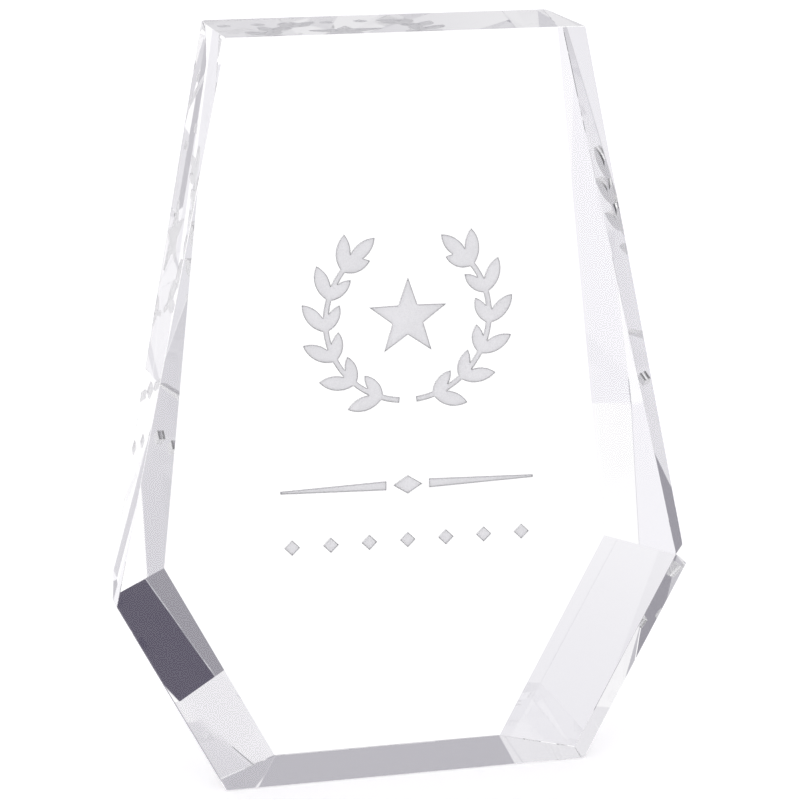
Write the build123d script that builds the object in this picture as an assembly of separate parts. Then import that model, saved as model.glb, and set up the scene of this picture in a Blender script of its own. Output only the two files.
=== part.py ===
from build123d import *
import math
import os

# Faceted crystal award: one solid block of optical crystal that stands on its flat base, with a
# sand-carved emblem in its front face. Each carved mark is a shallow pocket with its own matt fill.
# Millimetres, +Z up, +X to the viewer's right. The front faces -Y. The origin is the middle of the
# block's bounding box at base level.

# ---- driving dimensions: the block -------------------------------------------------------------
height = 152.0
thickness = 26.5
top_half_width = 35.6
waist_half_width = 59.1          # the widest level
base_half_width = 37.7
waist_height = 40.5
side_wall_depth = 10.2           # depth of the plain side walls at the waist and at the base
top_bevel_depth = 0.9            # the upper rear bevels take this much of the thickness at the top
back_waist_half_width = 46.6
back_base_half_width = 24.2
arris_width = 0.15               # polished flat along every edge

# ---- driving dimensions: the carving -----------------------------------------------------------
pocket_depth = 0.8
fill_recess = 0.3                # the fill's face lies this far below the front face
fill_gap = 0.03                  # room around and behind each fill, so that no two faces coincide

emblem_height = 95.5             # centre of the wreath and star
stem_radius = 16.6
stem_width = 1.1
stem_start_angle = -84.0         # from the bottom of the wreath, anticlockwise on the right branch
stem_end_angle = 47.0
leaf_pairs = 6
first_leaf_share = 0.55          # of one leaf step, from the foot of the stem
leaf_length = 7.4
leaf_width = 2.9
inner_leaf_length = 5.9
inner_leaf_width = 2.4
leaf_spread = 34.0               # angle between a leaf and the stem
star_points = 5
star_radius = 8.2
star_inner_share = 0.40

rule_height = 61.5
rule_reach = 26.0                # half the width of the whole rule
rule_start = 4.4
rule_thickness = 1.8
rule_tip_thickness = 0.5
lozenge_width = 6.0
lozenge_height = 3.8

dot_row_height = 50.0
dot_count = 7
dot_pitch = 7.9
dot_width = 3.2

front_y = -thickness / 2
back_y = thickness / 2
front_plane = Plane.XZ.offset(-front_y)
into_block = (0, 1, 0)


# ---- the block ---------------------------------------------------------------------------------
def block_corners():
    """Sharp corners of the block, named by place and side."""
    lower_slope = waist_height / (waist_half_width - base_half_width)
    back_waist_height = (back_waist_half_width - back_base_half_width) * lower_slope
    wall_y = front_y + side_wall_depth
    corners = {}
    for side in (-1, 1):
        corners["top front", side] = Vector(side * top_half_width, front_y, height)
        corners["top wall", side] = Vector(side * top_half_width, back_y - top_bevel_depth, height)
        corners["waist front", side] = Vector(side * waist_half_width, front_y, waist_height)
        corners["waist wall", side] = Vector(side * waist_half_width, wall_y, waist_height)
        corners["waist back", side] = Vector(side * back_waist_half_width, back_y, back_waist_height)
        corners["base front", side] = Vector(side * base_half_width, front_y, 0)
        corners["base wall", side] = Vector(side * base_half_width, wall_y, 0)
        corners["base back", side] = Vector(side * back_base_half_width, back_y, 0)

        # The upper rear bevel runs through three corners; its top back corner lies in that plane.
        hinge = corners["waist wall", side]
        across = corners["waist back", side] - hinge
        upward = corners["top wall", side] - hinge
        normal = across.cross(upward)
        rise = normal.Y * (back_y - hinge.Y) + normal.Z * (height - hinge.Z)
        corners["top back", side] = Vector(hinge.X - rise / normal.X, back_y, height)
    return corners


def block_facets():
    """Each facet as the ring of its corner names."""

    def ring(left_places):
        left = [(place, -1) for place in left_places]
        right = [(place, 1) for place in reversed(left_places)]
        return left + right

    facets = [
        ring(["base front", "waist front", "top front"]),
        ring(["base back", "waist back", "top back"]),
        ring(["top front", "top wall", "top back"]),
        ring(["base front", "base wall", "base back"]),
    ]
    side_rings = [
        ["top front", "top wall", "waist wall", "waist front"],     # upper side wall
        ["waist front", "waist wall", "base wall", "base front"],   # lower side wall
        ["waist wall", "top wall", "top back", "waist back"],       # upper rear bevel
        ["waist wall", "waist back", "base back", "base wall"],     # lower rear bevel
    ]
    for side in (-1, 1):
        for places in side_rings:
            facets.append([(place, side) for place in places])
    return facets


def outward_plane(points, centre):
    """Plane through three corners, with its normal away from the block's centre."""
    first, second, third = points
    normal = (second - first).cross(third - first).normalized()
    if normal.dot(first - centre) < 0:
        normal = normal * -1
    return Plane(origin=first, z_dir=normal)


def arris_plane(start, end, first_facet, second_facet):
    """Plane of the narrow polished flat between two facets, at its stated width."""
    bisector = (first_facet.z_dir + second_facet.z_dir).normalized()
    half_turn = bisector.get_angle(first_facet.z_dir)
    cut_depth = arris_width / 2 * math.tan(math.radians(half_turn))
    middle = (start + end) * 0.5
    return Plane(origin=middle - bisector * cut_depth, z_dir=bisector)


def faceted_block():
    """Rectangular stock, cut by the plane of every facet and every arris."""
    stock_room = 10.0
    corners = block_corners()
    centre = Vector(0, 0, waist_height)
    facet_planes = []
    edge_facets = {}
    for names in block_facets():
        plane = outward_plane([corners[name] for name in names[:3]], centre)
        facet_planes.append(plane)
        for name, next_name in zip(names, names[1:] + names[:1]):
            edge_facets.setdefault(frozenset([name, next_name]), []).append(plane)

    arris_planes = []
    for edge_names, planes in edge_facets.items():
        start, end = [corners[name] for name in sorted(edge_names)]
        arris_planes.append(arris_plane(start, end, planes[0], planes[1]))

    stock_size = (2 * waist_half_width + stock_room, thickness + stock_room, height + stock_room)
    stock = Pos(0, 0, height / 2) * Box(*stock_size)
    for plane in arris_planes + facet_planes:
        stock = split(stock, bisect_by=plane, keep=Keep.BOTTOM)
    return stock


# ---- the outlines of the carved marks, in the front face's own X and Z --------------------------
# Every outline takes an inset: none for the pocket, the gap for the fill that sits in it.
def leaf(length, width, inset):
    """Pointed leaf that starts at the origin and lies along X, with both edges as arcs."""
    bulge = width / 2
    edge_radius = (length**2 / 4 + bulge**2) / (2 * bulge)
    centre_drop = edge_radius - bulge
    half_length = math.sqrt((edge_radius - inset) ** 2 - centre_drop**2)
    foot = (length / 2 - half_length, 0)
    tip = (length / 2 + half_length, 0)
    upper = ThreePointArc(foot, (length / 2, bulge - inset), tip)
    lower = ThreePointArc(tip, (length / 2, inset - bulge), foot)
    return make_face(upper + lower)


def stem(inset):
    """Curved band of the branch, from the bottom of the wreath up one side."""
    trim = math.degrees(inset / stem_radius)
    start = stem_start_angle + trim
    sweep = stem_end_angle - trim - start
    half_width = stem_width / 2 - inset
    outer_arc = CenterArc((0, 0), stem_radius + half_width, start, sweep)
    inner_arc = CenterArc((0, 0), stem_radius - half_width, start, sweep)
    tip_line = Line(outer_arc @ 1, inner_arc @ 1)
    foot_line = Line(inner_arc @ 0, outer_arc @ 0)
    return make_face(outer_arc + tip_line + inner_arc + foot_line)


def wreath_branch(side, inset):
    """One laurel branch: the stem, pairs of leaves along it and one leaf at its tip."""
    sweep = stem_end_angle - stem_start_angle
    branch = stem(inset)
    for index in range(leaf_pairs):
        angle = stem_start_angle + sweep * (index + first_leaf_share) / leaf_pairs
        on_stem = Rot(0, 0, angle) * Pos(stem_radius, 0) * Rot(0, 0, 90)
        branch += on_stem * Rot(0, 0, -leaf_spread) * leaf(leaf_length, leaf_width, inset)
        branch += on_stem * Rot(0, 0, leaf_spread) * leaf(inner_leaf_length, inner_leaf_width, inset)
    at_tip = Rot(0, 0, stem_end_angle) * Pos(stem_radius, 0) * Rot(0, 0, 90)
    branch += at_tip * Pos(-stem_width, 0) * leaf(leaf_length, leaf_width, inset)
    if side < 0:
        branch = mirror(branch, about=Plane.YZ)
    return Pos(0, emblem_height) * branch


def straight_outline(points, inset):
    outline = Polygon(*points, align=None)
    if inset > 0:
        outline = offset(outline, amount=-inset, kind=Kind.INTERSECTION)
    return outline


def star(inset):
    """Star with one point up."""
    points = []
    for index in range(2 * star_points):
        radius = star_radius if index % 2 == 0 else star_radius * star_inner_share
        angle = math.radians(90 + 180 / star_points * index)
        points.append((radius * math.cos(angle), radius * math.sin(angle)))
    return Pos(0, emblem_height) * straight_outline(points, inset)


def lozenge(width, tall, inset):
    points = [(width / 2, 0), (0, tall / 2), (-width / 2, 0), (0, -tall / 2)]
    return straight_outline(points, inset)


def tapered_rule(side, inset):
    """Half of the rule under the wreath, thick near the middle and thin at its end."""
    near = side * rule_start
    far = side * rule_reach
    points = [
        (near, rule_thickness / 2),
        (near, -rule_thickness / 2),
        (far, -rule_tip_thickness / 2),
        (far, rule_tip_thickness / 2),
    ]
    return Pos(0, rule_height) * straight_outline(points, inset)


def marks(inset):
    """Outline of every carved mark under the name of its fill."""
    outlines = {
        "fill_wreath_left": wreath_branch(-1, inset),
        "fill_wreath_right": wreath_branch(1, inset),
        "fill_star": star(inset),
        "fill_rule_left": tapered_rule(-1, inset),
        "fill_rule_lozenge": Pos(0, rule_height) * lozenge(lozenge_width, lozenge_height, inset),
        "fill_rule_right": tapered_rule(1, inset),
    }
    for index in range(dot_count):
        place = (index - (dot_count - 1) / 2) * dot_pitch
        name = f"fill_dot_{index + 1}"
        outlines[name] = Pos(place, dot_row_height) * lozenge(dot_width, dot_width, inset)
    return outlines


def carved_pocket(outline):
    """Cutter for one pocket; it starts in front of the face so that the cut is open."""
    overshoot = 1.0
    placed = front_plane.offset(overshoot) * outline
    return extrude(placed, amount=overshoot + pocket_depth, dir=into_block)


def pocket_fill(outline):
    """Fill of one pocket, from its recessed face to just short of the pocket's floor."""
    fill_depth = pocket_depth - fill_gap - fill_recess
    return extrude(front_plane.offset(-fill_recess) * outline, amount=fill_depth, dir=into_block)


# ---- build and write ---------------------------------------------------------------------------
crystal_block = faceted_block()
for outline in marks(0).values():
    crystal_block -= carved_pocket(outline)

parts = {"crystal_block": crystal_block}
for name, outline in marks(fill_gap).items():
    parts[name] = pocket_fill(outline)

os.makedirs("parts", exist_ok=True)
for name, shape in parts.items():
    shape.label = name
    export_step(shape, f"parts/{name}.step")
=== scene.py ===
import bpy
import math
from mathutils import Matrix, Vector


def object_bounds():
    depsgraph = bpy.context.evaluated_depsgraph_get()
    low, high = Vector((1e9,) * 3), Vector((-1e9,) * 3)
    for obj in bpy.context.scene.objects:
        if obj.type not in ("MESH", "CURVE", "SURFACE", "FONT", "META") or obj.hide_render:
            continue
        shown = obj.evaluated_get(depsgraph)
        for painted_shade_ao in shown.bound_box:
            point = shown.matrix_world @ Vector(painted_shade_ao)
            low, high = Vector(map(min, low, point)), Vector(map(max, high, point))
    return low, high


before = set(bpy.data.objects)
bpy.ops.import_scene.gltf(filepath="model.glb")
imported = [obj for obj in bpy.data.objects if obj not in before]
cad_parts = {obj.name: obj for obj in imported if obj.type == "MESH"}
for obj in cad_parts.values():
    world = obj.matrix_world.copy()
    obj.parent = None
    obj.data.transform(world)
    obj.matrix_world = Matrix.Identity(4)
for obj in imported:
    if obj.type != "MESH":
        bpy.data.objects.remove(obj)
cad_low, cad_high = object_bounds()

scene = bpy.context.scene
scene.view_settings.view_transform = "Standard"
LIGHT_BOUNCES = 24               # a ray meets many facets before it leaves the block
scene.cycles.max_bounces = LIGHT_BOUNCES
scene.cycles.transmission_bounces = LIGHT_BOUNCES
scene.cycles.glossy_bounces = LIGHT_BOUNCES
scene.cycles.sample_clamp_indirect = 8.0

# ---- sizes in metres, from the frame ------------------------------------------------------------
MM = 0.001
FRONT_Y = cad_low[1]
POCKET_DEPTH = 0.8 * MM
MARKS_HALF_WIDTH = 27.5 * MM     # the carved marks all lie inside this part of the front face
MARKS_LOW_Z = 47.0 * MM
MARKS_HIGH_Z = 117.5 * MM

# ---- camera: at the block's front left and a little above it ------------------------------------
CAMERA_PLACE = Vector((-145.0, -581.3, 230.6)) * MM
CAMERA_TARGET = Vector((-1.6, -13.0, 79.0)) * MM
CAMERA_LENS_MM = 137.6
CAMERA_SENSOR_MM = 36.0

# ---- light: a white tent, with broad soft grey cards around it for the facets to mirror -----------
# The cards were placed one by one, after a study of which directions each facet refracts or mirrors.
WORLD_STRENGTH = 1.0
TENT_COLOUR = (1.10, 1.095, 1.10)
OVERHEAD_COLOUR = (0.83, 0.82, 0.85)
OVERHEAD_START = 12              # elevation in degrees where the tent starts to darken
OVERHEAD_FULL = 42
# each card: azimuth from the back towards +X, elevation, radius, all in degrees, and its tone
CARDS = [
    (15, 20, 15, 0.46),          # behind the block
    (65, 15, 15, 0.28),          # behind it on the right
    (115, 15, 20, 0.05),         # black flag on the right
    (145, 5, 12, 0.28),          # grey flag on the right, nearer the camera
    (165, -35, 15, 0.90),
    (-105, -15, 15, 0.92),
    (-60, -35, 25, 0.75),
    (-50, -15, 15, 0.30),        # grey flag behind the block on the left
    (-20, -10, 12, 0.82),
    (45, -30, 12, 0.76),
    (75, -20, 12, 0.66),
    (55, 50, 10, 0.50),          # overhead on the right
    (-150, 5, 20, 0.50),         # behind the camera
    (-80, 25, 20, 0.50),         # left wall
    (90, 30, 20, 0.40),          # right wall
    (35, 35, 15, 0.60),
    (150, 45, 15, 0.60),
    (0, 85, 15, 0.40),           # straight above
    (0, -85, 20, 0.50),          # straight below
]
CARD_SOFT_EDGE = 5               # degrees that a card fades over, to each side of its radius
CARD_TINT = (0.0, -0.01, 0.03)   # added to a card's tone: a very slightly cool grey

FLOOR_SIZE = 10.0
FLOOR_DROP = 0.2 * MM            # just below the base, so that the two faces don't coincide
FLOOR_COLOUR = (0.93, 0.925, 0.93)
FLOOR_GLOW = 0.46

CRYSTAL_IOR = 1.492
POLISH_RIPPLES_PER_METRE = 110.0
POLISH_RIPPLE_HEIGHT = 0.0015 * MM
CARVED_ROUGHNESS = 0.45
CARVED_EDGE = 0.1 * MM           # the frosting fades over this much around the marks
CARVED_DEPTH_EDGE = 0.02 * MM
CARVED_START = 0.04 * MM         # depth below the front face where the frosting starts

FILL_DARK = (0.81, 0.81, 0.815)
FILL_LIGHT = (0.88, 0.88, 0.885)
# painted shade: the dark grey that the fill's colour is darkened to beside its pocket's walls
FILL_PAINTED_SHADE = (0.30, 0.30, 0.31)
FILL_PAINTED_SHADE_REACH = 0.35 * MM    # painted shade: the fill's colour darkens this close to its pocket's walls
FILL_GRAINS_PER_METRE = 4200.0
FILL_CLOUDS_PER_METRE = 160.0
FILL_CLOUD_SHARE = 0.6
FILL_ROUGHEST = 0.92
FILL_SMOOTHEST = 0.78
FILL_GRAIN_HEIGHT = 0.05 * MM
FILL_GRAIN_STRENGTH = 0.35


def put_camera():
    data = bpy.data.cameras.new("camera")
    data.lens = CAMERA_LENS_MM
    data.sensor_width = CAMERA_SENSOR_MM
    data.clip_start = 0.01
    camera = bpy.data.objects.new("camera", data)
    scene.collection.objects.link(camera)
    camera.location = CAMERA_PLACE
    camera.rotation_euler = (CAMERA_TARGET - CAMERA_PLACE).to_track_quat("-Z", "Y").to_euler()
    scene.camera = camera


def direction(azimuth, elevation):
    """Unit vector; azimuth 0 looks along +Y and grows towards +X."""
    turn = math.radians(azimuth)
    lift = math.radians(elevation)
    return (math.sin(turn) * math.cos(lift), math.cos(turn) * math.cos(lift), math.sin(lift))


def node(tree, kind, **values):
    made = tree.nodes.new(kind)
    for name, value in values.items():
        setattr(made, name, value)
    return made


def give(tree, socket, value):
    """Link another node's output to a socket, or set the socket to a plain value."""
    if isinstance(value, bpy.types.NodeSocket):
        tree.links.new(value, socket)
    else:
        socket.default_value = value


def calculate(tree, operation, *values):
    made = node(tree, "ShaderNodeMath", operation=operation)
    for socket, value in zip(made.inputs, values):
        give(tree, socket, value)
    return made.outputs[0]


def remap(tree, value, old_low, old_high, new_low=0.0, new_high=1.0):
    """Soft step from one range to another."""
    made = node(tree, "ShaderNodeMapRange", interpolation_type="SMOOTHSTEP")
    give(tree, made.inputs["Value"], value)
    made.inputs["From Min"].default_value = old_low
    made.inputs["From Max"].default_value = old_high
    made.inputs["To Min"].default_value = new_low
    made.inputs["To Max"].default_value = new_high
    return made.outputs["Result"]


def blend(tree, share, first, second):
    """Mix of two colours, each a triple or another node's output."""
    made = node(tree, "ShaderNodeMix", data_type="RGBA")
    give(tree, made.inputs["Factor"], share)
    give(tree, made.inputs["A"], (*first, 1) if isinstance(first, tuple) else first)
    give(tree, made.inputs["B"], (*second, 1) if isinstance(second, tuple) else second)
    return made.outputs["Result"]


def put_world():
    """A white tent that darkens overhead, with the soft cards on it."""
    world = bpy.data.worlds.new("studio")
    scene.world = world
    world.use_nodes = True
    tree = world.node_tree
    background = tree.nodes["Background"]
    looking = node(tree, "ShaderNodeTexCoord").outputs["Generated"]
    split = node(tree, "ShaderNodeSeparateXYZ")
    tree.links.new(looking, split.inputs[0])
    start = math.sin(math.radians(OVERHEAD_START))
    full = math.sin(math.radians(OVERHEAD_FULL))
    overhead = remap(tree, split.outputs["Z"], start, full)
    colour = blend(tree, overhead, TENT_COLOUR, OVERHEAD_COLOUR)
    for azimuth, elevation, radius, tone in CARDS:
        aim = node(tree, "ShaderNodeVectorMath", operation="DOT_PRODUCT")
        tree.links.new(looking, aim.inputs[0])
        aim.inputs[1].default_value = direction(azimuth, elevation)
        edge = math.cos(math.radians(radius + CARD_SOFT_EDGE))
        core = math.cos(math.radians(radius - CARD_SOFT_EDGE))
        share = remap(tree, aim.outputs["Value"], edge, core)
        colour = blend(tree, share, colour, tuple(tone + shift for shift in CARD_TINT))
    tree.links.new(colour, background.inputs["Color"])
    background.inputs["Strength"].default_value = WORLD_STRENGTH


def put_floor():
    half = FLOOR_SIZE / 2
    corners = [(-half, -half), (half, -half), (half, half), (-half, half)]
    mesh = bpy.data.meshes.new("floor")
    mesh.from_pydata([(x, y, -FLOOR_DROP) for x, y in corners], [], [(0, 1, 2, 3)])
    floor = bpy.data.objects.new("floor", mesh)
    scene.collection.objects.link(floor)
    material = bpy.data.materials.new("floor_white")
    material.use_nodes = True
    shader = material.node_tree.nodes["Principled BSDF"]
    shader.inputs["Base Color"].default_value = (*FLOOR_COLOUR, 1)
    shader.inputs["Roughness"].default_value = 0.9
    shader.inputs["Specular IOR Level"].default_value = 0.1
    shader.inputs["Emission Color"].default_value = (1, 1, 1, 1)
    shader.inputs["Emission Strength"].default_value = FLOOR_GLOW
    mesh.materials.append(material)
    floor.visible_transmission = False       # rays that leave the block see the tent instead


def inside(tree, value, low, high, soft):
    """1 where the value lies between two limits, 0 outside them."""
    above = remap(tree, value, low - soft, low)
    below = remap(tree, value, high, high + soft, 1.0, 0.0)
    return calculate(tree, "MULTIPLY", above, below)


def crystal_material():
    """Polished optical crystal, frosted only where the carved pockets are."""
    material = bpy.data.materials.new("crystal")
    material.use_nodes = True
    tree = material.node_tree
    shader = tree.nodes["Principled BSDF"]
    shader.inputs["Base Color"].default_value = (1, 1, 1, 1)
    shader.inputs["IOR"].default_value = CRYSTAL_IOR
    shader.inputs["Transmission Weight"].default_value = 1.0

    place = node(tree, "ShaderNodeTexCoord").outputs["Object"]
    split = node(tree, "ShaderNodeSeparateXYZ")
    tree.links.new(place, split.inputs[0])
    across = inside(tree, split.outputs["X"], -MARKS_HALF_WIDTH, MARKS_HALF_WIDTH, CARVED_EDGE)
    shallow_end = FRONT_Y + CARVED_START
    deep_end = FRONT_Y + POCKET_DEPTH + CARVED_DEPTH_EDGE
    depth = inside(tree, split.outputs["Y"], shallow_end, deep_end, CARVED_DEPTH_EDGE)
    level = inside(tree, split.outputs["Z"], MARKS_LOW_Z, MARKS_HIGH_Z, CARVED_EDGE)
    carved = calculate(tree, "MULTIPLY", calculate(tree, "MULTIPLY", across, level), depth)
    roughness = calculate(tree, "MULTIPLY", carved, CARVED_ROUGHNESS)
    tree.links.new(roughness, shader.inputs["Roughness"])

    ripple = node(tree, "ShaderNodeTexNoise")
    tree.links.new(place, ripple.inputs["Vector"])
    ripple.inputs["Scale"].default_value = POLISH_RIPPLES_PER_METRE
    ripple.inputs["Detail"].default_value = 1.0
    bump = node(tree, "ShaderNodeBump")
    tree.links.new(ripple.outputs[0], bump.inputs["Height"])
    bump.inputs["Distance"].default_value = POLISH_RIPPLE_HEIGHT
    tree.links.new(bump.outputs["Normal"], shader.inputs["Normal"])
    return material


def fill_material():
    """Matt light grey colour fill with the fine grain of sand carving, and painted shade darkening
    its colour near its pocket's walls.
    """
    material = bpy.data.materials.new("engraving_fill")
    material.use_nodes = True
    tree = material.node_tree
    shader = tree.nodes["Principled BSDF"]
    place = node(tree, "ShaderNodeTexCoord").outputs["Object"]
    grain = node(tree, "ShaderNodeTexNoise")
    tree.links.new(place, grain.inputs["Vector"])
    grain.inputs["Scale"].default_value = FILL_GRAINS_PER_METRE
    grain.inputs["Detail"].default_value = 3.0
    cloud = node(tree, "ShaderNodeTexNoise")
    tree.links.new(place, cloud.inputs["Vector"])
    cloud.inputs["Scale"].default_value = FILL_CLOUDS_PER_METRE
    cloud.inputs["Detail"].default_value = 2.0
    clouds = calculate(tree, "MULTIPLY", cloud.outputs[0], FILL_CLOUD_SHARE)
    tone = calculate(tree, "ADD", grain.outputs[0], clouds)
    share = remap(tree, tone, 0.55, 1.05)
    clean = blend(tree, share, FILL_DARK, FILL_LIGHT)
    # painted shade: ambient occlusion darkens the fill's colour near its pocket's walls, where the
    # carved recess would shade it
    painted_shade_ao = node(tree, "ShaderNodeAmbientOcclusion", samples=8)
    painted_shade_ao.inputs["Distance"].default_value = FILL_PAINTED_SHADE_REACH
    unshaded_share = remap(tree, painted_shade_ao.outputs["AO"], 0.45, 0.95)
    colour = blend(tree, unshaded_share, FILL_PAINTED_SHADE, clean)
    tree.links.new(colour, shader.inputs["Base Color"])
    roughness = remap(tree, share, 0.0, 1.0, FILL_ROUGHEST, FILL_SMOOTHEST)
    tree.links.new(roughness, shader.inputs["Roughness"])
    bump = node(tree, "ShaderNodeBump")
    tree.links.new(grain.outputs[0], bump.inputs["Height"])
    bump.inputs["Distance"].default_value = FILL_GRAIN_HEIGHT
    bump.inputs["Strength"].default_value = FILL_GRAIN_STRENGTH
    tree.links.new(bump.outputs["Normal"], shader.inputs["Normal"])
    return material


def finish_nodes():
    crystal = crystal_material()
    fill = fill_material()
    for name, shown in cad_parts.items():
        for slot in shown.material_slots:
            slot.material = crystal if name == "crystal_block" else fill


put_camera()
put_world()
put_floor()
finish_nodes()
